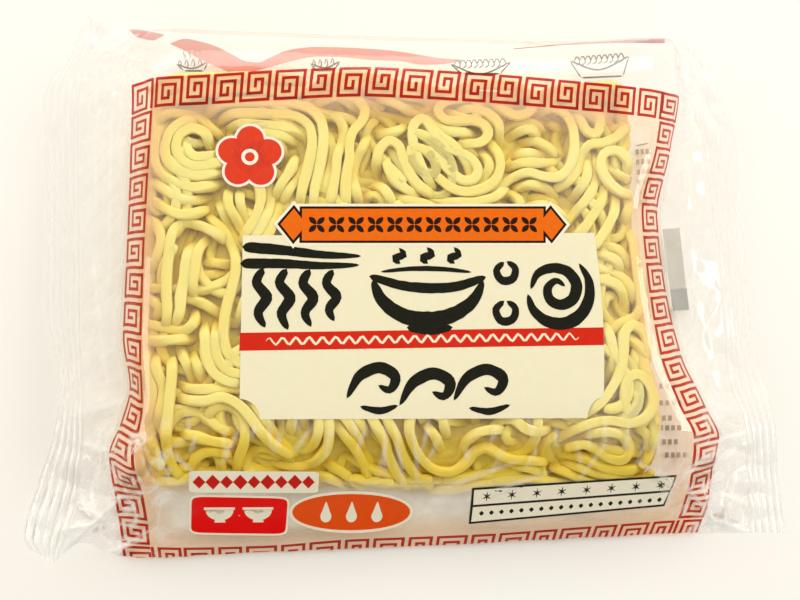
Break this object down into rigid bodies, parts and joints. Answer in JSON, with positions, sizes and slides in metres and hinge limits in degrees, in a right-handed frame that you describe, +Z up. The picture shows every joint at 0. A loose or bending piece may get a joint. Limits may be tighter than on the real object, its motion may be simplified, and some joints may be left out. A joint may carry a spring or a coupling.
{
  "type": "sealed pack of yakisoba noodles",
  "caption": "Clear sealed pillow pack of soft yellow wheat noodles lying flat, with crimped end seals and a printed key-pattern frame.",
  "frame": {"origin": "middle of the pack's footprint, on the surface that it lies on", "axes": "+X along the pack from the left end seal to the right one, +Y across it towards the back edge, +Z up out of the printed face"},
  "size_m": [0.2438, 0.1766, 0.0285],
  "materials": {
    "clear_film": "clear glossy polypropylene film over pale yellow noodles",
    "noodles": "soft oiled wheat dough, pale yellow, satin",
    "film_print": "flexographic ink under gloss film"
  },
  "bodies": {
    "root": {"noodle_pack": "clear_film"}
  },
  "joints": []
}
